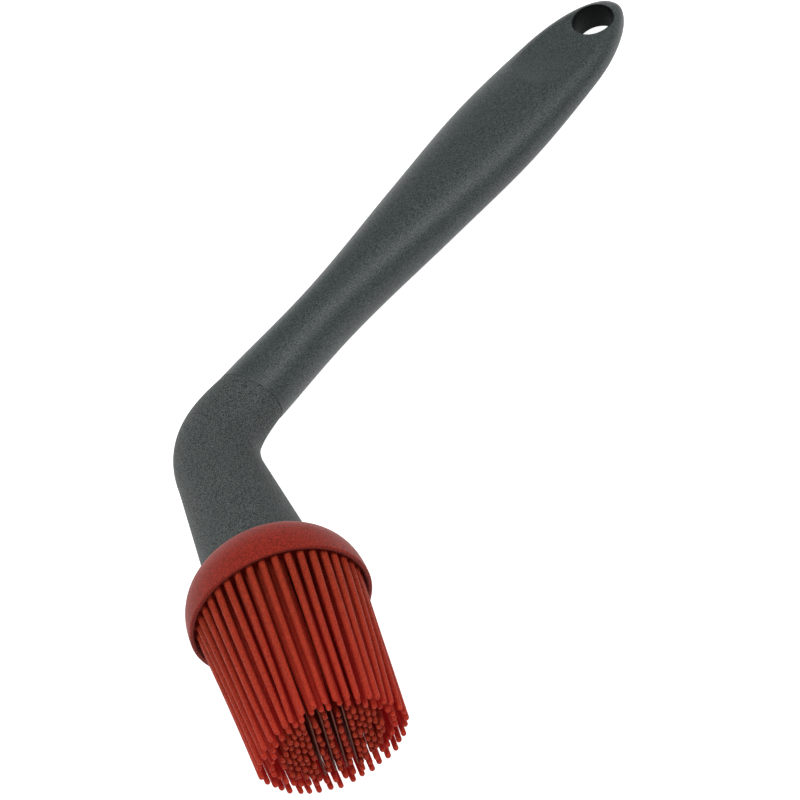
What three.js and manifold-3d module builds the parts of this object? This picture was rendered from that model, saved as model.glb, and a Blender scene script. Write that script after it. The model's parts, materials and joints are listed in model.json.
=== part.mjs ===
// An angled silicone pastry brush, lying on its side.
//
// The pieces are drawn in the brush's own bend plane: the corner of the bend is at
// the origin, +X runs along the grip to the hanging end, the head lies on the -Y
// side, and +Z stands across the bend. The last group turns the finished brush so
// that it lies on a table, and moves its origin below the middle of its box.
import * as THREE from 'three';
import { mergeVertices } from 'three/addons/utils/BufferGeometryUtils.js';
import Module from 'manifold-3d';

const wasm = await Module();
wasm.setup();

// ---------------------------------------------------------------- driving dimensions
// Lengths are in millimetres and angles in degrees.
const clearance = 0.3; // gap kept between pieces that rest on each other

// The whole brush
const bendAngle = 120; // between the grip's axis and the head's axis
const headDistance = 52.5; // corner of the bend to the collar's rim
const gripEnd = 154.3; // corner of the bend to the hanging end
const seamAt = 13.8; // corner of the bend to the seam of neck and grip
const seamLean = 11; // the seam's plane leans this far towards the bend
const seamFade = 14; // the grip's sections stand square again this far past the seam

// Collar
const collarRadius = 20.2; // at the rim, its widest place
const collarDome = { depth: 16.6, fullness: 2.6 }; // the dome's whole curve, from the rim
const collarBackAt = -13.4; // the dome ends here, round the neck
const rimRounding = 0.35;
const pocketRadius = 19.2; // the pocket that holds the bristle pad

// Bristle pad and bristles
const padFront = -1.6; // height of the pad's face, from the rim
const padThickness = 3.1;
const bristleReach = 36.2; // height of the tips, from the rim
const bristleSunk = 0.8; // the bristles run on this deep into the pad
const tipShrink = 0.83; // how far the tuft draws together towards its tips
const tipDrift = -0.5; // how far the whole tuft leans, at its tips
const tuftTurn = -6; // the block sits turned this far round the head's axis
const ringTurn = { root: 3.2, tip: 6.7 }; // the outer rings, turned and twisted in the block
const outerRing = { radius: 17.9, count: 40, root: 0.78, tip: 0.58 };
const secondRing = { radius: 15.2, count: 40, root: 0.78, tip: 0.56 };
const rowPitch = 2.85; // between the straight rows that have a flap between them
const stitchPitch = 2.9; // between the bristles of one row
const fieldRadius = 13.0; // the rows fill this circle
const rowBristle = { root: 0.74, tip: 0.56 };

// Flaps
const flapCount = 4;
const flapWidth = 22;
const flapThickness = 0.3;
const flapReach = 35.4; // height of the flaps' free edges, from the rim
const flapDrift = -0.2; // how far the flaps lean, at their free edges
const flapCorner = 2;
const flapBead = { width: 23.2, depth: 1.0, thickness: 1.4 };
const flapHoles = { radius: 1.5, rows: 4, inRow: 3, pitch: 6, first: 13 };
const slitPlay = 0.45; // the slits in the pad are this much wider than the flaps

// Neck
const flange = { radius: 16.5, thickness: 3.0 };
const bendStart = 12.4; // along the head's side of the bend
const bendPull = { head: 8.8, grip: 11.4 }; // how far the curve runs on along each straight axis
const neckAtCollar = 13.0;
const neckAtBend = 9.9;
const bendBulge = 1.25; // the bend's centreline swings this far out of the straight axes
const bendSwell = 0.5; // and the neck is this much wider half way round it
const neckAtSeam = { width: 8.15, thickness: 7.9 };
const tang = { end: 126, width: 4.6, thickness: 3.0, taper: 0.75 };

// Grip
const gripStep = 0.08; // the grip stands this far proud of the neck at the seam
const gripSquareness = 0.4; // its oval grows this much squarer towards the hanging end
const roundedFrom = 129; // the hanging end starts to round here
const endFullness = { width: 2.5, thickness: 4 }; // powers that round the hanging end off
const endCut = 0.03; // the loft stops this short of the end, where its section would vanish
const endDroop = 0.15; // the hanging end curves this far towards the head's side
const landFrom = 134; // the flat land round the hanging hole starts here
const landHeight = 4.1;
const landFade = 110; // how slowly the land runs out into the round grip
const holeFromEnd = 9.5;
const holeOffset = -0.7; // the hole's middle lies this far towards the head's side
const hole = { alongGrip: 5.2, acrossGrip: 4.8, chamfer: 0.7 };

// How the brush lies on a table: on the grip, the outside of the bend and the collar
const lieTilt = 0.4; // about the line across the grip
const lieRoll = -15.05; // about the grip's axis, which lifts the tips off the table

// ---------------------------------------------------------------- worked-out places
const radians = THREE.MathUtils.degToRad;
const across = new THREE.Vector3(0, 0, 1);
const alongGrip = new THREE.Vector3(1, 0, 0);
const headAxis = new THREE.Vector3(
  Math.cos(radians(bendAngle)),
  -Math.sin(radians(bendAngle)),
  0
);
const rimCentre = headAxis.clone().multiplyScalar(headDistance);
const padBack = padFront - padThickness;
const flangeFront = padBack - 2 * clearance;
const flangeBack = flangeFront - flange.thickness;
const gripStart = seamAt + clearance;

// ---------------------------------------------------------------- shape helpers
// A smooth curve through [place, value] pairs, read at one place.
function smoothValue(knots, place) {
  const last = knots.length - 1;
  let i = 0;
  while (i < last - 1 && place > knots[i + 1][0]) i += 1;
  const slope = (a, b) => (knots[b][1] - knots[a][1]) / (knots[b][0] - knots[a][0]);
  const slopeAt = (k) => slope(Math.max(k - 1, 0), Math.min(k + 1, last));
  const span = knots[i + 1][0] - knots[i][0];
  const t = (place - knots[i][0]) / span;
  const rise = t * t * (3 - 2 * t);
  return (
    knots[i][1] * (1 - rise) +
    knots[i + 1][1] * rise +
    span * (slopeAt(i) * t * (1 - t) ** 2 - slopeAt(i + 1) * t * t * (1 - t))
  );
}

// One closed cross-section: a rounded outline, flattened where it passes the cap height.
function section(centre, direction, width, thickness, exponent = 2, cap = Infinity, sides = 32) {
  const side = new THREE.Vector3().crossVectors(across, direction);
  const points = [];
  for (let k = 0; k < sides; k += 1) {
    const angle = (2 * Math.PI * k) / sides;
    const c = Math.cos(angle);
    const s = Math.sin(angle);
    const u = Math.sign(c) * Math.abs(c) ** (2 / exponent) * width;
    const v = Math.sign(s) * Math.abs(s) ** (2 / exponent) * thickness;
    const flat = THREE.MathUtils.clamp(v, -cap, cap);
    points.push(centre.clone().addScaledVector(side, u).addScaledVector(across, flat));
  }
  return { centre, points };
}

// A closed solid through a list of cross-sections.
function loft(sections) {
  const sides = sections[0].points.length;
  const vertices = sections.flatMap((one) => one.points);
  const triangles = [];
  for (let i = 0; i + 1 < sections.length; i += 1) {
    for (let k = 0; k < sides; k += 1) {
      const next = (k + 1) % sides;
      const [a, b] = [i * sides + k, i * sides + next];
      const [c, d] = [(i + 1) * sides + next, (i + 1) * sides + k];
      triangles.push(a, b, c, a, c, d);
    }
  }
  const first = vertices.push(sections[0].centre) - 1;
  const last = vertices.push(sections.at(-1).centre) - 1;
  const top = (sections.length - 1) * sides;
  for (let k = 0; k < sides; k += 1) {
    const next = (k + 1) % sides;
    triangles.push(first, next, k, last, top + k, top + next);
  }
  const geometry = new THREE.BufferGeometry();
  geometry.setFromPoints(vertices);
  geometry.setIndex(triangles);
  return geometry;
}

// Geometry to a solid that can be joined and cut, and back.
function solid(geometry) {
  const bare = geometry.clone();
  bare.deleteAttribute('normal');
  bare.deleteAttribute('uv');
  const merged = mergeVertices(bare);
  const mesh = new wasm.Mesh({
    numProp: 3,
    vertProperties: new Float32Array(merged.attributes.position.array),
    triVerts: new Uint32Array(merged.index.array)
  });
  return new wasm.Manifold(mesh);
}

function geometryOf(body) {
  const mesh = body.getMesh();
  const geometry = new THREE.BufferGeometry();
  geometry.setAttribute('position', new THREE.BufferAttribute(mesh.vertProperties, 3));
  geometry.setIndex(new THREE.BufferAttribute(mesh.triVerts, 1));
  return geometry;
}

// A direction turned within the bend plane.
function turnedBy(direction, degrees) {
  return direction.clone().applyAxisAngle(across, radians(degrees));
}

// A solid turned about +Z from [radius, height] pairs.
function turned(profile, segments = 48) {
  const points = profile.map(([radius, height]) => new THREE.Vector2(radius, height));
  return new THREE.LatheGeometry(points, segments).rotateX(Math.PI / 2);
}

function material(color, roughness) {
  return new THREE.MeshStandardMaterial({ color, roughness, metalness: 0 });
}

function piece(name, geometry, finish) {
  const mesh = new THREE.Mesh(geometry, finish);
  mesh.name = name;
  return mesh;
}

const finishes = {
  grip: material(0x525757, 0.75),
  neck: material(0x4b504e, 0.65),
  collar: material(0x8c3428, 0.5),
  bristles: material(0x9a2f20, 0.5),
  flaps: material(0x70422f, 0.45)
};

// ---------------------------------------------------------------- neck
// The rigid core: a flange inside the head, the bent neck, and a tang inside the grip.
function neckCore() {
  const toHandle = headAxis.clone().negate();
  const outward = headAxis.clone().add(alongGrip).normalize().negate();
  const onHead = (height) => rimCentre.clone().addScaledVector(headAxis, height);
  const sections = [
    section(onHead(flangeFront), toHandle, flange.radius, flange.radius),
    section(onHead(flangeBack), toHandle, flange.radius, flange.radius)
  ];

  const straightEnd = bendStart - headDistance;
  const straightSteps = 2;
  for (let k = 0; k <= straightSteps; k += 1) {
    const t = k / straightSteps;
    const height = THREE.MathUtils.lerp(flangeBack, straightEnd, t);
    const radius = THREE.MathUtils.lerp(neckAtCollar, neckAtBend, t);
    const centre = onHead(height).addScaledVector(outward, t * bendBulge);
    sections.push(section(centre, toHandle, radius, radius));
  }

  const bendFoot = onHead(straightEnd).addScaledVector(outward, bendBulge);
  const bend = new THREE.CubicBezierCurve3(
    bendFoot,
    bendFoot.clone().addScaledVector(toHandle, bendPull.head),
    alongGrip.clone().multiplyScalar(seamAt - bendPull.grip),
    alongGrip.clone().multiplyScalar(seamAt)
  );
  const bendSteps = 10;
  for (let k = 1; k <= bendSteps; k += 1) {
    const t = k / bendSteps;
    const swell = bendSwell * 4 * t * (1 - t);
    const width = THREE.MathUtils.lerp(neckAtBend, neckAtSeam.width, t) + swell;
    const thickness = THREE.MathUtils.lerp(neckAtBend, neckAtSeam.thickness, t);
    const direction = turnedBy(bend.getTangent(t), seamLean * t ** 3);
    sections.push(section(bend.getPoint(t), direction, width, thickness));
  }

  for (const [x, scale, lean] of [[seamAt, 1, seamLean], [tang.end, tang.taper, 0]]) {
    const centre = alongGrip.clone().multiplyScalar(x);
    const direction = turnedBy(alongGrip, lean);
    sections.push(section(centre, direction, tang.width * scale, tang.thickness * scale));
  }
  return loft(sections);
}

// ---------------------------------------------------------------- grip
const gripWidths = [
  [seamAt, neckAtSeam.width + gripStep],
  [42, 7.2],
  [77, 10.1],
  [105, 12.05],
  [133, 10.9],
  [gripEnd, 8.4]
];
const gripThicknesses = [
  [seamAt, neckAtSeam.thickness + gripStep],
  [49, 7.6],
  [105, 7.0],
  [133, 5.4],
  [gripEnd, 4.9]
];

// The grip's cross-section at one place along it.
function gripSection(x) {
  const end = Math.max(0, (x - roundedFrom) / (gripEnd - roundedFrom));
  const along = (x - seamAt) / (gripEnd - seamAt);
  const width = smoothValue(gripWidths, x) * Math.sqrt(1 - end ** endFullness.width);
  const thickness = smoothValue(gripThicknesses, x) * Math.sqrt(1 - end ** endFullness.thickness);
  const cap = landHeight + Math.max(0, landFrom - x) ** 2 / landFade;
  const centre = new THREE.Vector3(x, -endDroop * end ** 2, 0);
  const lean = seamLean * Math.max(0, 1 - (x - gripStart) / seamFade) ** 2;
  const squareness = 2 + gripSquareness * along;
  return section(centre, turnedBy(alongGrip, lean), width, thickness, squareness, cap, 36);
}

// The soft grip, moulded over the tang, with its hanging hole.
function softGrip() {
  const bodySteps = 16;
  const endSteps = 11;
  const places = [];
  for (let k = 0; k <= bodySteps; k += 1) {
    places.push(THREE.MathUtils.lerp(gripStart, roundedFrom, k / bodySteps));
  }
  for (let k = 1; k <= endSteps; k += 1) {
    const t = Math.sin((Math.PI / 2) * (k / endSteps));
    places.push(THREE.MathUtils.lerp(roundedFrom, gripEnd - endCut, t));
  }
  const skin = solid(loft(places.map(gripSection)));

  const faceReach = (tang.width + clearance) * Math.tan(radians(seamLean));
  const boreStart = gripStart - faceReach - clearance;
  const bore = [
    [boreStart, 1],
    [tang.end + clearance, tang.taper]
  ].map(([x, scale]) =>
    section(
      alongGrip.clone().multiplyScalar(x),
      alongGrip,
      tang.width * scale + clearance,
      tang.thickness * scale + clearance
    )
  );

  const holeCentre = gripEnd - holeFromEnd;
  const flare = hole.chamfer;
  const beyond = 1; // the cut runs on past the two lands
  const holeSections = [
    [-landHeight - beyond, flare + beyond],
    [-landHeight + flare, 0],
    [landHeight - flare, 0],
    [landHeight + beyond, flare + beyond]
  ].map(([height, extra]) => {
    const points = [];
    const sides = 32;
    for (let k = 0; k < sides; k += 1) {
      const angle = (2 * Math.PI * k) / sides;
      const x = holeCentre + Math.cos(angle) * (hole.alongGrip + extra);
      const y = holeOffset + Math.sin(angle) * (hole.acrossGrip + extra);
      points.push(new THREE.Vector3(x, y, height));
    }
    return { centre: new THREE.Vector3(holeCentre, holeOffset, height), points };
  });
  return geometryOf(skin.subtract(solid(loft(bore))).subtract(solid(loft(holeSections))));
}

// ---------------------------------------------------------------- head, drawn round +Z
// The collar: a soft cup stretched over the neck's flange.
function softCollar() {
  const grooveBack = flangeBack - clearance;
  const neckHere = THREE.MathUtils.lerp(
    neckAtCollar,
    neckAtBend,
    (collarBackAt - flangeBack) / (bendStart - headDistance - flangeBack)
  );
  const neckHole = neckHere + clearance;
  const profile = [[pocketRadius, 0]];
  const rimSteps = 2;
  for (let k = 0; k <= rimSteps; k += 1) {
    const angle = (Math.PI / 2) * (k / rimSteps);
    const radius = collarRadius - rimRounding * (1 - Math.sin(angle));
    profile.push([radius, -rimRounding * (1 - Math.cos(angle))]);
  }
  const domeSteps = 9;
  for (let k = 1; k <= domeSteps; k += 1) {
    const height = THREE.MathUtils.lerp(-rimRounding, collarBackAt, k / domeSteps);
    const share = (-height / collarDome.depth) ** collarDome.fullness;
    profile.push([collarRadius * Math.sqrt(1 - share), height]);
  }
  profile.push(
    [neckHole, collarBackAt],
    [neckAtCollar + clearance, grooveBack],
    [flange.radius + clearance, grooveBack],
    [flange.radius + clearance, padBack - clearance],
    [pocketRadius, padBack - clearance],
    [pocketRadius, 0]
  );
  return turned(profile.reverse(), 48);
}

// One bristle, from its root place on the pad to its tip.
function bristle(rootPlace, tipPlace, size) {
  const root = new THREE.Vector3(...rootPlace, padFront - bristleSunk);
  const tip = new THREE.Vector3(...tipPlace, bristleReach);
  const length = root.distanceTo(tip);
  const points = [new THREE.Vector2(0, 0), new THREE.Vector2(size.root, 0)];
  const tipSteps = 2;
  for (let k = 0; k <= tipSteps; k += 1) {
    const angle = (Math.PI / 2) * (k / tipSteps);
    const height = length - size.tip * (1 - Math.sin(angle));
    points.push(new THREE.Vector2(size.tip * Math.cos(angle), height));
  }
  const rod = new THREE.LatheGeometry(points, 6);
  const lean = new THREE.Quaternion().setFromUnitVectors(
    new THREE.Vector3(0, 1, 0),
    tip.clone().sub(root).normalize()
  );
  return rod.applyQuaternion(lean).translate(root.x, root.y, root.z);
}

// A place on a circle round the head's axis.
function onCircle(radius, degrees) {
  return [radius * Math.cos(radians(degrees)), radius * Math.sin(radians(degrees))];
}

// Root and tip places and size of every bristle: two rings, and straight rows inside. The
// rows stand half a pitch apart, but among the flaps every second row's place is a flap's.
function bristlePlaces() {
  const places = [];
  for (const [ring, phase] of [[outerRing, 0], [secondRing, 0.5]]) {
    for (let k = 0; k < ring.count; k += 1) {
      const degrees = (360 * (k + phase)) / ring.count;
      const [x, y] = onCircle(ring.radius * tipShrink, degrees + ringTurn.tip);
      places.push([onCircle(ring.radius, degrees + ringTurn.root), [x + tipDrift, y], ring]);
    }
  }
  const halfPitch = rowPitch / 2;
  const steps = Math.floor(fieldRadius / halfPitch);
  for (let step = -steps; step <= steps; step += 1) {
    const amongFlaps = Math.abs(step) < flapCount;
    const flapHere = amongFlaps && step % 2 !== 0;
    if (flapHere) continue;
    const shift = step % (amongFlaps ? 4 : 2) === 0 ? 0 : 0.5;
    const x = step * halfPitch;
    const halfChord = Math.sqrt(fieldRadius ** 2 - x ** 2);
    const most = Math.floor(halfChord / stitchPitch - shift);
    for (let k = -most - 2 * shift; k <= most; k += 1) {
      const y = (k + shift) * stitchPitch;
      places.push([[x, y], [x * tipShrink + tipDrift, y * tipShrink], rowBristle]);
    }
  }
  return places;
}

// Where each flap stands across the pad.
const flapPlaces = Array.from({ length: flapCount }, (_, k) => (k - (flapCount - 1) / 2) * rowPitch);

function box(width, depth, height, x, y, z) {
  return new THREE.BoxGeometry(width, depth, height).translate(x, y, z);
}

// The bristle block: a round pad and its bristles, one moulding, slit for the flaps.
function bristleBlock() {
  const pad = solid(
    turned([
      [0, padBack],
      [pocketRadius - clearance, padBack],
      [pocketRadius - clearance, padFront],
      [0, padFront]
    ])
  );
  const rods = bristlePlaces().map((place) => solid(bristle(...place)));
  const padMiddle = (padFront + padBack) / 2;
  const slitWidth = flapThickness + slitPlay;
  const slits = flapPlaces.flatMap((x) => [
    solid(box(slitWidth, flapWidth + 2 * clearance, 2 * padThickness, x, 0, padMiddle)),
    solid(
      box(
        flapBead.thickness + 2 * clearance,
        flapBead.width + 2 * clearance,
        2 * (flapBead.depth + clearance),
        x,
        0,
        padBack
      )
    )
  ]);
  return geometryOf(wasm.Manifold.union([pad, ...rods]).subtract(wasm.Manifold.union(slits)));
}

// One flap, drawn standing on its bead with its root at height 0.
function flap() {
  const height = flapReach - padBack;
  const half = flapWidth / 2;
  const roundX = half - flapCorner;
  const roundY = height - flapCorner;
  const outline = new THREE.Shape();
  outline.moveTo(-half, 0);
  outline.lineTo(half, 0);
  outline.lineTo(half, roundY);
  outline.absarc(roundX, roundY, flapCorner, 0, Math.PI / 2);
  outline.lineTo(-roundX, height);
  outline.absarc(-roundX, roundY, flapCorner, Math.PI / 2, Math.PI);
  for (let row = 0; row < flapHoles.rows; row += 1) {
    for (let k = 0; k < flapHoles.inRow; k += 1) {
      const opening = new THREE.Path();
      const u = (k - (flapHoles.inRow - 1) / 2) * flapHoles.pitch;
      const v = flapHoles.first + row * flapHoles.pitch;
      opening.absarc(u, v, flapHoles.radius, 0, 2 * Math.PI, true);
      outline.holes.push(opening);
    }
  }
  const blade = new THREE.ExtrudeGeometry(outline, {
    depth: flapThickness,
    bevelEnabled: false,
    curveSegments: 3
  });
  blade.translate(0, 0, -flapThickness / 2);
  const bead = box(flapBead.width, flapBead.depth, flapBead.thickness, 0, flapBead.depth / 2, 0);
  return geometryOf(solid(blade).add(solid(bead)));
}

// ---------------------------------------------------------------- assembly
const head = new THREE.Group();
head.position.copy(rimCentre);
head.setRotationFromMatrix(
  new THREE.Matrix4().makeBasis(
    new THREE.Vector3().crossVectors(across, headAxis),
    across,
    headAxis
  )
);
head.add(piece('collar', softCollar(), finishes.collar));
const tuft = new THREE.Group();
tuft.rotation.z = radians(tuftTurn);
head.add(tuft);
tuft.add(piece('bristle_block', bristleBlock(), finishes.bristles));
flapPlaces.forEach((x, k) => {
  const blade = piece(`flap_${k + 1}`, flap(), finishes.flaps);
  const lean = new THREE.Group();
  const standing = new THREE.Matrix4().makeBasis(
    new THREE.Vector3(0, 1, 0),
    new THREE.Vector3(0, 0, 1),
    new THREE.Vector3(1, 0, 0)
  );
  blade.setRotationFromMatrix(standing);
  lean.position.set(x, 0, padBack);
  const inward = x * (1 - tipShrink) - flapDrift;
  lean.rotation.y = -Math.atan(inward / (flapReach - padFront));
  lean.add(blade);
  tuft.add(lean);
});

const brush = new THREE.Group();
brush.add(piece('grip', softGrip(), finishes.grip));
brush.add(piece('neck', neckCore(), finishes.neck));
brush.add(head);
brush.rotation.set(radians(lieRoll), radians(lieTilt), 0);

// Put the origin below the middle of the lying brush, on the table.
const lying = new THREE.Group();
lying.add(brush);
lying.updateMatrixWorld(true);
const bounds = new THREE.Box3().setFromObject(lying, true);
const middle = bounds.getCenter(new THREE.Vector3());
brush.position.set(-middle.x, -middle.y, -bounds.min.z);

export default lying;
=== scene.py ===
"""The looks of an angled silicone pastry brush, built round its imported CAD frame.

Shapes are drawn in millimetres in the brush's bend plane: the corner of the bend is at the
origin, +X runs along the grip, the head lies on the -Y side and +Z stands across the bend.
to_row() turns them into the row frame, in metres, where the brush lies on its table.
"""

import json
import math
import random

import bmesh
import bpy
from mathutils import Matrix, Vector


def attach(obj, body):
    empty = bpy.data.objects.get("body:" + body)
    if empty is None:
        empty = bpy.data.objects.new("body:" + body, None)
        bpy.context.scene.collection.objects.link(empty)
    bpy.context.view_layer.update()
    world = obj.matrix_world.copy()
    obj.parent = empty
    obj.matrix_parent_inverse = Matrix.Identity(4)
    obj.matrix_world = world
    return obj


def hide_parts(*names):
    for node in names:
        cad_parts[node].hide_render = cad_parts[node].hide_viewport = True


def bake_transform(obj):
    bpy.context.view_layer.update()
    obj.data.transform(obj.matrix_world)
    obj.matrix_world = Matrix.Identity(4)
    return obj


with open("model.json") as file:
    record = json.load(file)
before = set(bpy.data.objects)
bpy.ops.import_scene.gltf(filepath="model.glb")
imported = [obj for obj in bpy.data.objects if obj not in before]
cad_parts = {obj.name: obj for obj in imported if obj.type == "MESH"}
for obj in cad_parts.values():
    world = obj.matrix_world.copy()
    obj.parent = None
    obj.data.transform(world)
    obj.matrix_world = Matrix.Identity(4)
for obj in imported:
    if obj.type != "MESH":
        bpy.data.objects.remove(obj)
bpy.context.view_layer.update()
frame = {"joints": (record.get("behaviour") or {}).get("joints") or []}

MM = 0.001

# ---------------------------------------------------------------- driving dimensions, mm
CLEARANCE = 0.3
BEND_ANGLE = math.radians(120)
HEAD_DISTANCE = 52.5
GRIP_END = 154.3
SEAM_AT = 13.8
SEAM_LEAN = math.radians(11)
SEAM_FADE = 14.0

COLLAR_RADIUS = 20.2
COLLAR_DOME = {"depth": 16.6, "fullness": 2.6}
COLLAR_BACK_AT = -13.4
RIM_ROUNDING = 0.35
POCKET_RADIUS = 19.2

PAD_FRONT = -1.6
PAD_THICKNESS = 3.1
BRISTLE_REACH = 36.2
TIP_SHRINK = 0.83
TIP_DRIFT = -0.5
TUFT_TURN = math.radians(-6)
RING_TURN = {"root": math.radians(3.2), "tip": math.radians(6.7)}
OUTER_RING = {"radius": 17.9, "count": 40, "root": 0.78, "tip": 0.58, "wander": 0.22}
SECOND_RING = {"radius": 15.2, "count": 40, "root": 0.78, "tip": 0.56, "wander": 0.16}
ROW_PITCH = 2.85
STITCH_PITCH = 2.9
FIELD_RADIUS = 13.0
ROW_BRISTLE = {"root": 0.74, "tip": 0.56, "wander": 0.13}

FLAP_COUNT = 4
FLAP_WIDTH = 22.0
FLAP_THICKNESS = 0.3
FLAP_REACH = 35.4
FLAP_DRIFT = -0.2
FLAP_CORNER = 2.0
FLAP_BEAD = {"width": 23.2, "depth": 1.0, "thickness": 1.4}
FLAP_HOLES = {"radius": 1.5, "rows": 4, "in_row": 3, "pitch": 6.0, "first": 13.0}
SLIT_PLAY = 0.45

FLANGE = {"radius": 16.5, "thickness": 3.0}
BEND_START = 12.4
BEND_BULGE = 1.25
BEND_PULL = {"head": 8.8, "grip": 11.4}
BEND_SWELL = 0.5
NECK_AT_COLLAR = 13.0
NECK_AT_BEND = 9.9
NECK_AT_SEAM = {"width": 8.15, "thickness": 7.9}
TANG = {"end": 126.0, "width": 4.6, "thickness": 3.0, "taper": 0.75}

GRIP_STEP = 0.08
GRIP_SQUARENESS = 0.4
ROUNDED_FROM = 129.0
END_FULLNESS = {"width": 2.5, "thickness": 4}
END_CUT = 0.03
END_DROOP = 0.15
LAND_FROM = 134.0
LAND_HEIGHT = 4.1
LAND_FADE = 110.0
HOLE_FROM_END = 9.5
HOLE_OFFSET = -0.7
HOLE = {"along": 5.2, "across": 4.8, "round": 0.9}

# Small edges that the eye sees and the CAD leaves out
SEAM_LINE = 0.02
NECK_EDGE = 0.04
GRIP_EDGE = 0.1
PAD_EDGE = 0.25
FLAP_EDGE = 0.06

# How soft pieces stray from their straight CAD shapes
FLAP_BOW = 0.3
BRISTLE_BOW = 0.15
SHORT_BY = 0.28
FOOT = {"sunk": 0.25, "height": 0.9, "spread": 0.22}
SPLAY = 0.8  # the outermost tips on the two flanks stand this much further out
SPLAY_SHARPNESS = 24  # the higher, the fewer bristles share in it

# How the brush lies on its table
LIE_TILT = math.radians(0.4)
LIE_ROLL = math.radians(-15.05)

# ---------------------------------------------------------------- places
ACROSS = Vector((0, 0, 1))
ALONG_GRIP = Vector((1, 0, 0))
HEAD_AXIS = Vector((math.cos(BEND_ANGLE), -math.sin(BEND_ANGLE), 0))
HEAD_SIDE = ACROSS.cross(HEAD_AXIS)
RIM_CENTRE = HEAD_AXIS * HEAD_DISTANCE
OUTWARD = -(HEAD_AXIS + ALONG_GRIP).normalized()
PAD_BACK = PAD_FRONT - PAD_THICKNESS
FLANGE_FRONT = PAD_BACK - 2 * CLEARANCE
FLANGE_BACK = FLANGE_FRONT - FLANGE["thickness"]
BRISTLE_LENGTH = BRISTLE_REACH - PAD_FRONT
GRIP_START = SEAM_AT + SEAM_LINE

# The hinge of the tuft ties the bend plane to the row frame.
hinge = frame["joints"][0]
lie = Matrix.Rotation(LIE_ROLL, 3, "X") @ Matrix.Rotation(LIE_TILT, 3, "Y")
hinge_here = RIM_CENTRE + HEAD_AXIS * (PAD_FRONT + BRISTLE_LENGTH / 3)
corner = Vector(hinge["pos_m"]) - lie @ hinge_here * MM


def to_row(point):
    """A point of the bend plane, in millimetres, as metres in the row frame."""
    return lie @ Vector(point) * MM + corner


def on_head(x, y, height):
    """A point given round the head's axis, in the bend plane's millimetres."""
    return RIM_CENTRE + HEAD_SIDE * x + ACROSS * y + HEAD_AXIS * height


def on_tuft(x, y, height):
    """A point of the tuft, which sits turned a little in the head."""
    c, s = math.cos(TUFT_TURN), math.sin(TUFT_TURN)
    return on_head(c * x - s * y, s * x + c * y, height)


def on_circle(radius, angle):
    return radius * math.cos(angle), radius * math.sin(angle)


def lerp(a, b, t):
    """The value a share t of the way from a to b."""
    return a + (b - a) * t


def turned_by(direction, angle):
    """A direction turned within the bend plane."""
    return Matrix.Rotation(angle, 3, "Z") @ direction


def quarter_round(radius, steps):
    """An edge's rounding: (distance back from the end face, inset) from the side to the end."""
    angles = [math.pi / 2 * k / steps for k in range(steps + 1)]
    return [(radius * (1 - math.sin(angle)), radius * (1 - math.cos(angle))) for angle in angles]


def smooth_value(knots, place):
    """A smooth curve through (place, value) pairs, read at one place."""
    last = len(knots) - 1
    i = 0
    while i < last - 1 and place > knots[i + 1][0]:
        i += 1

    def slope_at(k):
        a, b = max(k - 1, 0), min(k + 1, last)
        return (knots[b][1] - knots[a][1]) / (knots[b][0] - knots[a][0])

    span = knots[i + 1][0] - knots[i][0]
    t = (place - knots[i][0]) / span
    rise = t * t * (3 - 2 * t)
    ends = knots[i][1] * (1 - rise) + knots[i + 1][1] * rise
    return ends + span * (slope_at(i) * t * (1 - t) ** 2 - slope_at(i + 1) * t * t * (1 - t))


# ---------------------------------------------------------------- meshes
def mesh_object(name, points, faces, smooth=True, flip=False):
    """A mesh from points in the bend plane's millimetres, placed in the row frame."""
    mesh = bpy.data.meshes.new(name)
    if flip:
        faces = [tuple(reversed(face)) for face in faces]
    mesh.from_pydata([to_row(p) for p in points], [], faces)
    mesh.update()
    for polygon in mesh.polygons:
        polygon.use_smooth = smooth
    obj = bpy.data.objects.new(name, mesh)
    bpy.context.scene.collection.objects.link(obj)
    return obj


def ring_faces(rings, sides):
    """The quads between neighbouring rings, and the two end caps."""
    faces = []
    for i in range(rings - 1):
        for k in range(sides):
            n = (k + 1) % sides
            here, there = i * sides, (i + 1) * sides
            faces.append((here + k, here + n, there + n, there + k))
    faces.append(tuple(range(sides - 1, -1, -1)))
    faces.append(tuple((rings - 1) * sides + k for k in range(sides)))
    return faces


def soft_clamp(value, cap, softness=0.35):
    """value kept under cap, rounding over within the softness below it."""
    size = abs(value)
    start = cap - softness
    if size <= start:
        return value
    over = min((size - start) / (2 * softness), 1.0)
    return math.copysign(start + softness * (2 * over - over * over), value)


def section(centre, direction, width, thickness, exponent=2.0, cap=None, sides=96):
    """One closed cross-section, softly flattened where it nears the cap height."""
    side = ACROSS.cross(direction)
    points = []
    for k in range(sides):
        angle = 2 * math.pi * k / sides
        c, s = math.cos(angle), math.sin(angle)
        u = math.copysign(abs(c) ** (2 / exponent), c) * width
        v = math.copysign(abs(s) ** (2 / exponent), s) * thickness
        if cap is not None:
            v = soft_clamp(v, cap)
        points.append(centre + side * u + ACROSS * v)
    return points


def boolean_cut(obj, cutter):
    """Cut one mesh out of another, and drop the cutter."""
    cut = obj.modifiers.new("cut", "BOOLEAN")
    cut.operation = "DIFFERENCE"
    cut.solver = "EXACT"
    cut.object = cutter
    graph = bpy.context.evaluated_depsgraph_get()
    result = bpy.data.meshes.new_from_object(obj.evaluated_get(graph))
    obj.modifiers.clear()
    obj.data = result
    bpy.data.objects.remove(cutter)


def box_object(x, height, thickness, width, tall):
    """A box that stands across the rows of the tuft, centred at one height."""
    points = []
    for dz in (-0.5, 0.5):
        for dx, dy in ((-0.5, -0.5), (0.5, -0.5), (0.5, 0.5), (-0.5, 0.5)):
            points.append(on_tuft(x + dx * thickness, dy * width, height + dz * tall))
    return mesh_object("box", points, ring_faces(2, 4), smooth=False)


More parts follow.
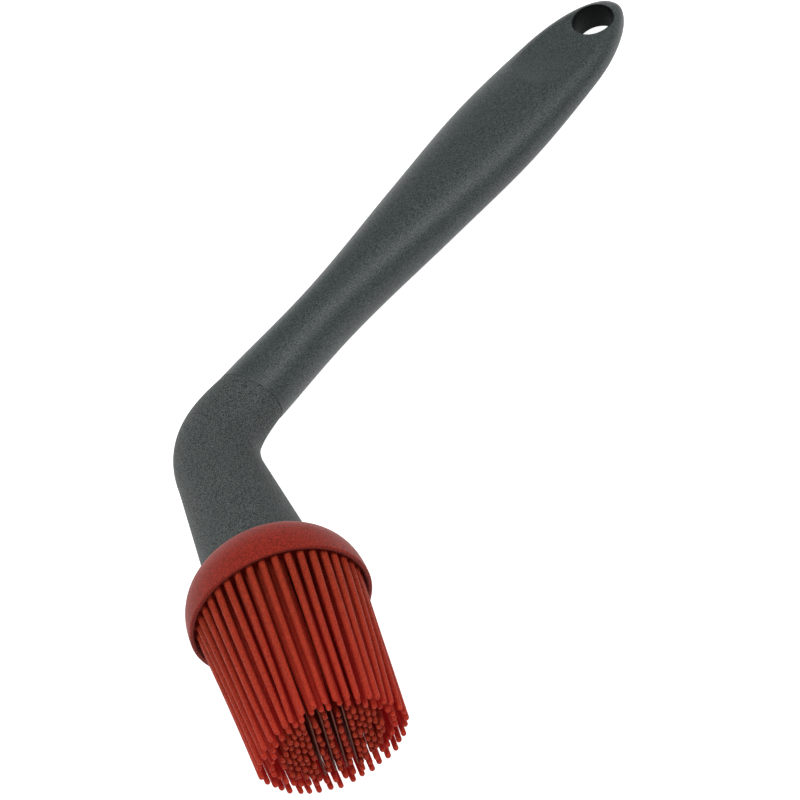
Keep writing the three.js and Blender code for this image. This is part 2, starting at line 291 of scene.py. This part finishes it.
def join(name, objects):
    """One mesh from several."""
    joined = bmesh.new()
    for obj in objects:
        joined.from_mesh(obj.data)
    mesh = bpy.data.meshes.new(name)
    joined.to_mesh(mesh)
    joined.free()
    for obj in objects:
        bpy.data.objects.remove(obj)
    result = bpy.data.objects.new(name, mesh)
    bpy.context.scene.collection.objects.link(result)
    return result


# ---------------------------------------------------------------- grip
GRIP_WIDTHS = [
    (SEAM_AT, NECK_AT_SEAM["width"] + GRIP_STEP),
    (42, 7.2),
    (77, 10.1),
    (105, 12.05),
    (133, 10.9),
    (GRIP_END, 8.4),
]
GRIP_THICKNESSES = [
    (SEAM_AT, NECK_AT_SEAM["thickness"] + GRIP_STEP),
    (49, 7.6),
    (105, 7.0),
    (133, 5.4),
    (GRIP_END, 4.9),
]


def grip_section(x, inset):
    """The grip's cross-section at one place along it, drawn in by the inset."""
    end = max(0.0, (x - ROUNDED_FROM) / (GRIP_END - ROUNDED_FROM))
    along = (x - SEAM_AT) / (GRIP_END - SEAM_AT)
    width = smooth_value(GRIP_WIDTHS, x) * math.sqrt(1 - end ** END_FULLNESS["width"])
    thickness = smooth_value(GRIP_THICKNESSES, x) * math.sqrt(1 - end ** END_FULLNESS["thickness"])
    cap = LAND_HEIGHT + max(0.0, LAND_FROM - x) ** 2 / LAND_FADE
    centre = Vector((x, -END_DROOP * end**2, 0))
    lean = SEAM_LEAN * max(0.0, 1 - (x - GRIP_START) / SEAM_FADE) ** 2
    squareness = 2 + GRIP_SQUARENESS * along
    direction = turned_by(ALONG_GRIP, lean)
    return section(centre, direction, width - inset, thickness - inset, squareness, cap, 120)


def make_grip():
    """The soft grip, with a small rounded edge at the seam and a rounded hanging hole."""
    places = [(GRIP_START + back, inset) for back, inset in reversed(quarter_round(GRIP_EDGE, 5))]
    body_steps = 110
    for k in range(1, body_steps + 1):
        places.append((lerp(GRIP_START + GRIP_EDGE, ROUNDED_FROM, k / body_steps), 0.0))
    end_steps = 60
    for k in range(1, end_steps + 1):
        t = math.sin(math.pi / 2 * k / end_steps)
        places.append((lerp(ROUNDED_FROM, GRIP_END - END_CUT, t), 0.0))
    points = []
    for x, inset in places:
        points += grip_section(x, inset)
    sides = len(points) // len(places)
    grip = mesh_object("grip_skin", points, ring_faces(len(places), sides))

    hole_at = GRIP_END - HOLE_FROM_END
    rings = hole_rings()
    cutter_points = []
    cutter_sides = 96
    for height, extra in rings:
        for k in range(cutter_sides):
            angle = 2 * math.pi * k / cutter_sides
            x = hole_at + math.cos(angle) * (HOLE["along"] + extra)
            y = HOLE_OFFSET + math.sin(angle) * (HOLE["across"] + extra)
            cutter_points.append(Vector((x, y, height)))
    cutter = mesh_object("hole_cutter", cutter_points, ring_faces(len(rings), cutter_sides))
    boolean_cut(grip, cutter)
    return grip


def hole_rings():
    """(height, extra radius) down the hanging hole, rounded where it meets the two lands."""
    beyond = 2.0
    rings = [(-LAND_HEIGHT - beyond, HOLE["round"])]
    for back, inset in reversed(quarter_round(HOLE["round"], 8)):
        rings.append((-LAND_HEIGHT + back, inset))
    return rings + [(-height, extra) for height, extra in reversed(rings)]


# ---------------------------------------------------------------- neck
def make_neck():
    """The rigid core: flange in the head, bent neck and tang in the grip."""
    to_handle = -HEAD_AXIS
    sections = []

    def add(centre, direction, width, thickness):
        sections.append(section(centre, direction, width, thickness))

    for height in (FLANGE_FRONT, FLANGE_BACK):
        add(RIM_CENTRE + HEAD_AXIS * height, to_handle, FLANGE["radius"], FLANGE["radius"])
    straight_end = BEND_START - HEAD_DISTANCE
    straight_steps = 30
    for k in range(straight_steps + 1):
        t = k / straight_steps
        height = lerp(FLANGE_BACK, straight_end, t)
        radius = lerp(NECK_AT_COLLAR, NECK_AT_BEND, t)
        centre = RIM_CENTRE + HEAD_AXIS * height + OUTWARD * (t * BEND_BULGE)
        add(centre, to_handle, radius, radius)

    # The bend is one Bezier curve from the straight neck (a) to the seam (d).
    a = RIM_CENTRE + HEAD_AXIS * straight_end + OUTWARD * BEND_BULGE
    b = a + to_handle * BEND_PULL["head"]
    c = ALONG_GRIP * (SEAM_AT - BEND_PULL["grip"])
    d = ALONG_GRIP * SEAM_AT
    speed_at_seam = 3 * (d - c).length
    bend_steps = 80
    last = 1 - NECK_EDGE / speed_at_seam
    places = [(last * k / bend_steps, 0.0) for k in range(1, bend_steps)]
    places += [(1 - back / speed_at_seam, inset) for back, inset in quarter_round(NECK_EDGE, 5)]
    for t, inset in places:
        s = 1 - t
        centre = a * s**3 + b * 3 * s * s * t + c * 3 * s * t * t + d * t**3
        tangent = ((b - a) * s * s + (c - b) * 2 * s * t + (d - c) * t * t).normalized()
        swell = BEND_SWELL * 4 * t * s
        width = lerp(NECK_AT_BEND, NECK_AT_SEAM["width"], t) + swell - inset
        thickness = lerp(NECK_AT_BEND, NECK_AT_SEAM["thickness"], t) - inset
        add(centre, turned_by(tangent, SEAM_LEAN * t**3), width, thickness)
    for x, scale, lean in ((SEAM_AT, 1, SEAM_LEAN), (TANG["end"], TANG["taper"], 0)):
        direction = turned_by(ALONG_GRIP, lean)
        add(ALONG_GRIP * x, direction, TANG["width"] * scale, TANG["thickness"] * scale)
    points = [point for one in sections for point in one]
    return mesh_object("neck_core", points, ring_faces(len(sections), len(sections[0])))


# ---------------------------------------------------------------- collar
def make_collar():
    """The soft cup, turned from one closed profile of (radius, height)."""
    groove_back = FLANGE_BACK - CLEARANCE
    neck_share = (COLLAR_BACK_AT - FLANGE_BACK) / (BEND_START - HEAD_DISTANCE - FLANGE_BACK)
    neck_hole = lerp(NECK_AT_COLLAR, NECK_AT_BEND, neck_share) + CLEARANCE
    rounding = quarter_round(RIM_ROUNDING, 6)
    profile = [(POCKET_RADIUS + inset, -back) for back, inset in rounding]
    profile += [(COLLAR_RADIUS - inset, -back) for back, inset in reversed(rounding)]
    dome_steps = 48
    for k in range(1, dome_steps + 1):
        height = lerp(-RIM_ROUNDING, COLLAR_BACK_AT, k / dome_steps)
        share = (-height / COLLAR_DOME["depth"]) ** COLLAR_DOME["fullness"]
        profile.append((COLLAR_RADIUS * math.sqrt(1 - share), height))
    profile += [
        (neck_hole, COLLAR_BACK_AT),
        (NECK_AT_COLLAR + CLEARANCE, groove_back),
        (FLANGE["radius"] + CLEARANCE, groove_back),
        (FLANGE["radius"] + CLEARANCE, PAD_BACK - CLEARANCE),
        (POCKET_RADIUS, PAD_BACK - CLEARANCE),
    ]
    around = 160
    points = []
    for k in range(around):
        for radius, height in profile:
            x, y = on_circle(radius, 2 * math.pi * k / around)
            points.append(on_head(x, y, height))
    faces = []
    count = len(profile)
    for k in range(around):
        here, there = k * count, (k + 1) % around * count
        for i in range(count):
            j = (i + 1) % count
            faces.append((here + i, here + j, there + j, there + i))
    return mesh_object("collar_cup", points, faces, flip=True)


# ---------------------------------------------------------------- bristles
def bristle_places():
    """Root place, tip place and size of every bristle: two rings, and straight rows inside."""
    places = []
    for ring, phase in ((OUTER_RING, 0.0), (SECOND_RING, 0.5)):
        for k in range(ring["count"]):
            angle = 2 * math.pi * (k + phase) / ring["count"]
            root = on_circle(ring["radius"], angle + RING_TURN["root"])
            x, y = on_circle(ring["radius"] * TIP_SHRINK, angle + RING_TURN["tip"])
            flank = SPLAY * math.copysign(abs(math.cos(angle)) ** SPLAY_SHARPNESS, math.cos(angle))
            places.append((root, (x + TIP_DRIFT + flank, y), ring))
    # The flaps stand on odd steps of half a pitch and leave room for one row between two of
    # them. Beyond the flaps there is a row at every step. Every other row is half a stitch off.
    half_pitch = ROW_PITCH / 2
    steps = math.floor(FIELD_RADIUS / half_pitch)
    for step in range(-steps, steps + 1):
        among_flaps = abs(step) < FLAP_COUNT
        if among_flaps and step % 2 != 0:
            continue
        shift = 0.0 if step % (4 if among_flaps else 2) == 0 else 0.5
        x = step * half_pitch
        half_chord = math.sqrt(FIELD_RADIUS**2 - x**2)
        most = math.floor(half_chord / STITCH_PITCH - shift)
        for k in range(int(-most - 2 * shift), most + 1):
            y = (k + shift) * STITCH_PITCH
            places.append(((x, y), (x * TIP_SHRINK + TIP_DRIFT, y * TIP_SHRINK), ROW_BRISTLE))
    return places


def bristle_mesh(rng, points, faces, root, tip, size):
    """One round, tapered bristle with a small foot and a round tip, slightly bent by chance."""
    sides = 14
    lean_x = rng.gauss(0, size["wander"])
    lean_y = rng.gauss(0, size["wander"])
    bow_x = rng.gauss(0, BRISTLE_BOW)
    bow_y = rng.gauss(0, BRISTLE_BOW)
    reach = BRISTLE_REACH - abs(rng.gauss(0, SHORT_BY))
    tip_radius = size["tip"] * rng.uniform(0.95, 1.05)
    foot_at = PAD_FRONT - FOOT["sunk"]
    body_at = foot_at + FOOT["height"]
    stations = []
    for share in (0.0, 0.25, 0.5, 1.0):
        radius = size["root"] + FOOT["spread"] * (1 - share) ** 2
        stations.append((lerp(foot_at, body_at, share), radius))
    body_steps = 12
    top = reach - tip_radius
    for k in range(1, body_steps):
        t = k / body_steps
        stations.append((lerp(body_at, top, t), lerp(size["root"], tip_radius, t)))
    for back, inset in quarter_round(tip_radius, 5)[:-1]:
        stations.append((reach - back, tip_radius - inset))
    first = len(points)
    for height, radius in stations:
        t = (height - PAD_FRONT) / BRISTLE_LENGTH
        bow = 4 * t * (1 - t)
        cx = lerp(root[0], tip[0], t) + lean_x * t * t + bow_x * bow
        cy = lerp(root[1], tip[1], t) + lean_y * t * t + bow_y * bow
        for k in range(sides):
            u, v = on_circle(radius, 2 * math.pi * k / sides)
            points.append(on_tuft(cx + u, cy + v, height))
    faces += [tuple(first + v for v in face) for face in ring_faces(len(stations), sides)]


def make_bristles(flap_places):
    """The pad, slit for the flaps, with all of its bristles."""
    rng = random.Random(7)
    radius = POCKET_RADIUS - CLEARANCE
    sides = 120
    pad_points = []
    rings = [
        (radius - PAD_EDGE, PAD_BACK),
        (radius, PAD_BACK + PAD_EDGE),
        (radius, PAD_FRONT - PAD_EDGE),
        (radius - PAD_EDGE, PAD_FRONT),
    ]
    for ring_radius, height in rings:
        for k in range(sides):
            u, v = on_circle(ring_radius, 2 * math.pi * k / sides)
            pad_points.append(on_tuft(u, v, height))
    block = mesh_object("pad", pad_points, ring_faces(len(rings), sides), smooth=False)
    pad_middle = (PAD_FRONT + PAD_BACK) / 2
    for x in flap_places:
        slit_width = FLAP_WIDTH + 2 * CLEARANCE
        slit = box_object(x, pad_middle, FLAP_THICKNESS + SLIT_PLAY, slit_width, 2 * PAD_THICKNESS)
        boolean_cut(block, slit)
        trough = box_object(
            x,
            PAD_BACK,
            FLAP_BEAD["thickness"] + 2 * CLEARANCE,
            FLAP_BEAD["width"] + 2 * CLEARANCE,
            2 * (FLAP_BEAD["depth"] + CLEARANCE),
        )
        boolean_cut(block, trough)

    points, faces = [], []
    for root, tip, size in bristle_places():
        bristle_mesh(rng, points, faces, root, tip, size)
    rods = mesh_object("rods", points, faces)
    return join("bristle_tuft", [block, rods])


# ---------------------------------------------------------------- flaps
def flap_outline():
    """The blade's outline, as (across, height) from its root, round at the two free corners."""
    height = FLAP_REACH - PAD_BACK
    half = FLAP_WIDTH / 2 - FLAP_EDGE
    outline = [(-half, FLAP_EDGE), (half, FLAP_EDGE)]
    corner_arc = quarter_round(FLAP_CORNER, 8)
    outline += [(half - inset, height - back) for back, inset in corner_arc]
    outline += [(inset - half, height - back) for back, inset in reversed(corner_arc)]
    return outline


def add_spline(curve, points):
    """One closed outline, given in millimetres, on a flat curve."""
    spline = curve.splines.new("POLY")
    spline.points.add(len(points) - 1)
    for point, (u, v) in zip(spline.points, points):
        point.co = (u * MM, v * MM, 0, 1)
    spline.use_cyclic_u = True


def make_flap(name, place):
    """A thin blade with holes, standing on a bead behind the pad, bowed a little outward."""
    curve = bpy.data.curves.new(name, "CURVE")
    curve.dimensions = "2D"
    curve.fill_mode = "BOTH"
    curve.extrude = (FLAP_THICKNESS / 2 - FLAP_EDGE) * MM
    curve.bevel_depth = FLAP_EDGE * MM
    curve.bevel_resolution = 2
    add_spline(curve, flap_outline())
    hole_steps = 24
    for row in range(FLAP_HOLES["rows"]):
        for k in range(FLAP_HOLES["in_row"]):
            u = (k - (FLAP_HOLES["in_row"] - 1) / 2) * FLAP_HOLES["pitch"]
            v = FLAP_HOLES["first"] + row * FLAP_HOLES["pitch"]
            circle = []
            for step in range(hole_steps):
                du, dv = on_circle(FLAP_HOLES["radius"] + FLAP_EDGE, -2 * math.pi * step / hole_steps)
                circle.append((u + du, v + dv))
            add_spline(curve, circle)
    blade = bpy.data.objects.new(name, curve)
    bpy.context.scene.collection.objects.link(blade)
    graph = bpy.context.evaluated_depsgraph_get()
    mesh = bpy.data.meshes.new_from_object(blade.evaluated_get(graph))
    bpy.data.objects.remove(blade)

    # The blades lean together as the bristles do. On a blade u runs across, v up and w through.
    inward = place * (1 - TIP_SHRINK) - FLAP_DRIFT
    lean = -math.atan(inward / (FLAP_REACH - PAD_FRONT))
    for vertex in mesh.vertices:
        u, v, w = vertex.co / MM
        free = max(0.0, v - PAD_THICKNESS) / (FLAP_REACH - PAD_FRONT)
        w += math.copysign(FLAP_BOW, place) * math.sin(math.pi * free)
        x = w * math.cos(lean) + v * math.sin(lean)
        tall = v * math.cos(lean) - w * math.sin(lean)
        vertex.co = to_row(on_tuft(place + x, u, PAD_BACK + tall))
    flap = bpy.data.objects.new(name, mesh)
    bpy.context.scene.collection.objects.link(flap)
    bead_middle = PAD_BACK + FLAP_BEAD["depth"] / 2
    bead = box_object(
        place, bead_middle, FLAP_BEAD["thickness"], FLAP_BEAD["width"], FLAP_BEAD["depth"]
    )
    return join(name, [flap, bead])


# ---------------------------------------------------------------- materials
GRAIN = 4200  # speckles of the moulded skin, to the metre
GRAIN_DEPTH = 0.00005
DUST_DEPTH = 0.00004
ROUGHNESS_SPREAD = 0.06
CLOUD_SHADE = 0.8  # large, faint clouds draw every colour towards this shade of it

# Shades of the grey plastic's own colour, and then a painted shade
PIT = 0.2
PEAK = 1.95
# painted shade: the wall of the hanging hole is darkened to this share, for the shadow inside it
HOLE_WALL_PAINTED_SHADE = 0.15  # of the hanging hole

# Painted light: the bristles shine of their own, for the light that passes along inside them
GLOW_COLOR = (1.0, 0.02, 0.03)
GLOW_AT_ROOT = 0.1
GLOW_AMONG_ROWS = 0.2
GLOW_FROM_RADIUS = 11.8  # about here the straight rows end and the two rings begin


class Shader:
    """A small helper that wires one node material."""

    def __init__(self, name):
        self.material = bpy.data.materials.new(name)
        self.material.use_nodes = True
        self.nodes = self.material.node_tree.nodes
        self.links = self.material.node_tree.links
        self.principled = self.nodes["Principled BSDF"]
        self.place = self.nodes.new("ShaderNodeTexCoord").outputs["Object"]

    def noise(self, scale, detail=4.0, roughness=0.6):
        node = self.nodes.new("ShaderNodeTexNoise")
        node.inputs["Scale"].default_value = scale
        node.inputs["Detail"].default_value = detail
        node.inputs["Roughness"].default_value = roughness
        self.links.new(self.place, node.inputs["Vector"])
        return node.outputs["Fac"]

    def cells(self, scale):
        node = self.nodes.new("ShaderNodeTexVoronoi")
        node.inputs["Scale"].default_value = scale
        self.links.new(self.place, node.inputs["Vector"])
        return node.outputs["Distance"]

    def ramp(self, factor, stops):
        """A colour that changes between two stops of (position, colour)."""
        node = self.nodes.new("ShaderNodeValToRGB")
        for element, (position, color) in zip(node.color_ramp.elements, stops):
            element.position = position
            element.color = (*color, 1)
        self.links.new(factor, node.inputs["Fac"])
        return node.outputs["Color"]

    def math(self, operation, a, b):
        node = self.nodes.new("ShaderNodeMath")
        node.operation = operation
        for socket, value in zip(node.inputs, (a, b)):
            if isinstance(value, (int, float)):
                socket.default_value = value
            else:
                self.links.new(value, socket)
        return node.outputs["Value"]

    def along(self, start, end):
        """0 at one point of the row frame and 1 at another, rising evenly between them."""
        axis = end - start
        node = self.nodes.new("ShaderNodeVectorMath")
        node.operation = "DOT_PRODUCT"
        self.links.new(self.place, node.inputs[0])
        node.inputs[1].default_value = axis / axis.length_squared
        return self.math("SUBTRACT", node.outputs["Value"], start.dot(axis) / axis.length_squared)

    def spread(self, middle, edge_a, edge_b):
        """Half the squared distance from an axis, 0.5 on the oval through both edge points."""
        u = self.along(middle, edge_a)
        v = self.along(middle, edge_b)
        total = self.math("ADD", self.math("POWER", u, 2.0), self.math("POWER", v, 2.0))
        return self.math("MULTIPLY", total, 0.5)

    def remap(self, factor, low, high):
        node = self.nodes.new("ShaderNodeMapRange")
        node.inputs["To Min"].default_value = low
        node.inputs["To Max"].default_value = high
        self.links.new(factor, node.inputs["Value"])
        return node.outputs["Result"]

    def mix(self, factor, a, b, blend="MIX"):
        node = self.nodes.new("ShaderNodeMix")
        node.data_type = "RGBA"
        node.blend_type = blend
        # Among the sockets of all its data types, a colour mix uses 0, 6, 7 and the output 2.
        for socket, value in ((node.inputs[0], factor), (node.inputs[6], a), (node.inputs[7], b)):
            if isinstance(value, (int, float)):
                socket.default_value = value
            elif isinstance(value, tuple):
                socket.default_value = (*value, 1)
            else:
                self.links.new(value, socket)
        return node.outputs[2]

    def bump(self, height, strength, distance, under=None):
        node = self.nodes.new("ShaderNodeBump")
        node.inputs["Strength"].default_value = strength
        node.inputs["Distance"].default_value = distance
        self.links.new(height, node.inputs["Height"])
        if under is not None:
            self.links.new(under, node.inputs["Normal"])
        return node.outputs["Normal"]

    def set(self, name, value):
        socket = self.principled.inputs[name]
        if isinstance(value, (int, float)):
            socket.default_value = value
        elif isinstance(value, tuple):
            socket.default_value = (*value, 1) if len(socket.default_value) == 4 else value
        else:
            self.links.new(value, socket)


def shade(color, strength):
    """A colour made darker or lighter."""
    return tuple(strength * channel for channel in color)


def grey(value):
    return (value, value, value)


def grey_plastic(name, color, rough, gloss, shade_hole_wall=False):
    """Matt grey plastic or soft-touch rubber with a fine sanded grain.

    The wall of the hanging hole can be given painted shade: darker, and with less shine, for the
    shadow that lies inside it.
    """
    shader = Shader(name)
    speckle = shader.noise(GRAIN, 2.0, 0.6)
    cloud = shader.noise(90, 3.0, 0.5)
    sanded = shader.ramp(speckle, [(0.4, shade(color, PIT)), (0.6, shade(color, PEAK))])
    body = shader.mix(shader.remap(cloud, 0.0, 0.25), sanded, shade(color, CLOUD_SHADE))
    shader.set("Specular IOR Level", gloss)
    if shade_hole_wall:
        # Painted shade: the shadow inside the hanging hole, painted on its wall as a darker colour
        # and a weaker shine.
        x, y = GRIP_END - HOLE_FROM_END, HOLE_OFFSET
        middle = to_row((x, y, 0))
        edge_along = to_row((x + HOLE["along"], y, 0))
        edge_across = to_row((x, y + HOLE["across"], 0))
        spread = shader.spread(middle, edge_along, edge_across)
        painted_wall_shade = shader.ramp(spread, [(0.52, grey(HOLE_WALL_PAINTED_SHADE)), (0.6, grey(1))])
        body = shader.mix(1.0, body, painted_wall_shade, "MULTIPLY")
        shader.set("Specular IOR Level", shader.math("MULTIPLY", painted_wall_shade, gloss))
    shader.set("Base Color", body)
    shader.set("Roughness", shader.remap(speckle, rough + ROUGHNESS_SPREAD, rough - ROUGHNESS_SPREAD))
    fine = shader.bump(speckle, 0.9, GRAIN_DEPTH)
    shader.set("Normal", shader.bump(shader.cells(GRAIN * 0.55), 0.5, GRAIN_DEPTH, fine))
    return shader.material


def silicone(name, color, rough, dust, sheen=0.0, subsurface=0.0, painted_glow=0.0):
    """Pigmented silicone: satin, faintly dusty, with a little light passing through.

    The dust is the contrast of its fine speckle. The glow is painted light: the silicone shines red
    of its own, rising towards the tips and strongest in the outer rings, for light travelling inside
    thin bristles.
    """
    shader = Shader(name)
    speckle = shader.noise(GRAIN, 2.0, 0.6)
    cloud = shader.noise(160, 4.0, 0.6)
    dusty = shader.ramp(speckle, [(0.42, shade(color, 1 - dust)), (0.58, shade(color, 1 + dust))])
    body = shader.mix(shader.remap(cloud, 0.0, 0.4), dusty, shade(color, CLOUD_SHADE))
    shader.set("Base Color", body)
    # Painted light: an emission makes the silicone shine red, weak at the roots and among the rows.
    if painted_glow > 0.0:
        root = to_row(on_head(0, 0, PAD_FRONT))
        tip = to_row(on_head(0, 0, BRISTLE_REACH))
        height = shader.math("MAXIMUM", shader.along(root, tip), GLOW_AT_ROOT)
        middle = to_row(on_head(0, 0, 0))
        edge_x = to_row(on_head(GLOW_FROM_RADIUS, 0, 0))
        edge_y = to_row(on_head(0, GLOW_FROM_RADIUS, 0))
        spread = shader.spread(middle, edge_x, edge_y)
        outer = shader.ramp(spread, [(0.42, grey(GLOW_AMONG_ROWS)), (0.54, grey(1))])
        rising = shader.math("MULTIPLY", height, painted_glow)
        shader.set("Emission Color", GLOW_COLOR)
        shader.set("Emission Strength", shader.math("MULTIPLY", rising, outer))
    shader.set("Roughness", shader.remap(speckle, rough + ROUGHNESS_SPREAD, rough - ROUGHNESS_SPREAD))
    shader.set("Normal", shader.bump(speckle, 0.6, DUST_DEPTH))
    # Red light travels furthest through it, a bristle's width and more.
    shader.set("Subsurface Weight", subsurface)
    shader.set("Subsurface Radius", (0.0025, 0.0004, 0.0003))
    shader.set("Subsurface Scale", 1.0)
    shader.set("Sheen Weight", sheen)
    shader.set("Sheen Roughness", 0.5)
    shader.set("Sheen Tint", (1.0, 0.7, 0.68))
    shader.set("Specular IOR Level", 0.15)
    shader.set("IOR", 1.41)
    return shader.material


# ---------------------------------------------------------------- build
flap_places = [(k - (FLAP_COUNT - 1) / 2) * ROW_PITCH for k in range(FLAP_COUNT)]


def finish_piece(obj, material, node):
    """The one material of a piece, and the CAD piece it stands for."""
    obj.data.materials.clear()
    obj.data.materials.append(material)
    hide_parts(node)


grip = make_grip()
grip_material = grey_plastic("grip_tpe", (0.031, 0.039, 0.039), rough=0.46, gloss=0.3, shade_hole_wall=True)
finish_piece(grip, grip_material, "grip")
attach(grip, "handle")

neck = make_neck()
neck_material = grey_plastic("neck_nylon", (0.044, 0.0505, 0.0495), rough=0.6, gloss=0.14)
finish_piece(neck, neck_material, "neck")
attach(neck, "handle")

collar = make_collar()
collar_material = silicone(
    "collar_silicone", (0.19, 0.0125, 0.0055), rough=0.6, dust=0.65, sheen=0.12, subsurface=0.03
)
finish_piece(collar, collar_material, "collar")
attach(collar, "handle")

tuft = make_bristles(flap_places)
bristle_material = silicone(
    "bristle_silicone",
    (0.23, 0.0225, 0.008),
    rough=0.6,
    dust=0.5,
    sheen=0.02,
    subsurface=0.25,
    painted_glow=0.1,
)
finish_piece(tuft, bristle_material, "bristle_block")
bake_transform(tuft)

flap_material = silicone(
    "flap_silicone", (0.11, 0.034, 0.021), rough=0.65, dust=0.4, subsurface=0.05, painted_glow=0.03
)
for number, place in enumerate(flap_places, 1):
    flap = make_flap(f"flap_blade_{number}", place)
    finish_piece(flap, flap_material, f"flap_{number}")
    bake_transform(flap)

# ---------------------------------------------------------------- floor
# White paper that is lit of its own a little, so that hardly a shadow shows on it.
FLOOR_HALF = 4.0
FLOOR_LIGHT = 0.9

floor_mesh = bpy.data.meshes.new("floor")
floor_corners = [(-1, -1), (1, -1), (1, 1), (-1, 1)]
floor_points = [(FLOOR_HALF * x, FLOOR_HALF * y, 0) for x, y in floor_corners]
floor_mesh.from_pydata(floor_points, [], [(0, 1, 2, 3)])
floor = bpy.data.objects.new("floor", floor_mesh)
bpy.context.scene.collection.objects.link(floor)
floor_shader = Shader("floor_paper")
paper = floor_shader.ramp(floor_shader.noise(30), [(0.3, grey(0.49)), (0.7, grey(0.51))])
floor_shader.set("Base Color", paper)
floor_shader.set("Emission Color", grey(1.0))
floor_shader.set("Emission Strength", FLOOR_LIGHT)
floor_shader.set("Roughness", 0.8)
floor.data.materials.append(floor_shader.material)

# ---------------------------------------------------------------- camera
# In the bend plane's millimetres, beyond the bristles' end of the brush and high above it.
CAMERA_EYE = Vector((-161.6, -318.8, 402.1))
CAMERA_AIM = Vector((33.3, -27.2, -5.9))
CAMERA_UP = Vector((0.694, 0.386, 0.608))
CAMERA_LENS = 107.35

camera_data = bpy.data.cameras.new("camera")
camera_data.sensor_width = 36
camera_data.lens = CAMERA_LENS
camera = bpy.data.objects.new("camera", camera_data)
bpy.context.scene.collection.objects.link(camera)
eye = to_row(CAMERA_EYE)
aim = to_row(CAMERA_AIM)
forward = (aim - eye).normalized()
right = forward.cross(lie @ CAMERA_UP).normalized()
up = right.cross(forward)
turn = Matrix((right, up, -forward)).transposed().to_4x4()
camera.matrix_world = Matrix.Translation(eye) @ turn
bpy.context.scene.camera = camera

# ---------------------------------------------------------------- light
# Places are counted from the camera's aim, along the bend plane's axes, in metres. The first
# softbox stands above the head and shades the bristles, and the grip mirrors the second.
ROOM_LIGHT = 0.28
SOFTBOXES = {
    "softbox_main": {"place": (-0.7, 0.1, 1.8), "size": 0.9, "power": 26.0},
    "softbox_side": {"place": (0.6, -1.1, 1.55), "size": 0.8, "power": 22.0},
}

world = bpy.data.worlds.new("studio")
bpy.context.scene.world = world
world.use_nodes = True
background = world.node_tree.nodes["Background"]
background.inputs["Color"].default_value = (1, 1, 1, 1)
background.inputs["Strength"].default_value = ROOM_LIGHT


def softbox(name, place, size, power):
    """A square area light turned to the brush."""
    data = bpy.data.lights.new(name, "AREA")
    data.size = size
    data.energy = power
    light = bpy.data.objects.new(name, data)
    light.location = place
    light.rotation_euler = (aim - place).to_track_quat("-Z", "Y").to_euler()
    bpy.context.scene.collection.objects.link(light)


for name, box in SOFTBOXES.items():
    softbox(name, aim + lie @ Vector(box["place"]), box["size"], box["power"])

bpy.context.scene.view_settings.view_transform = "Standard"
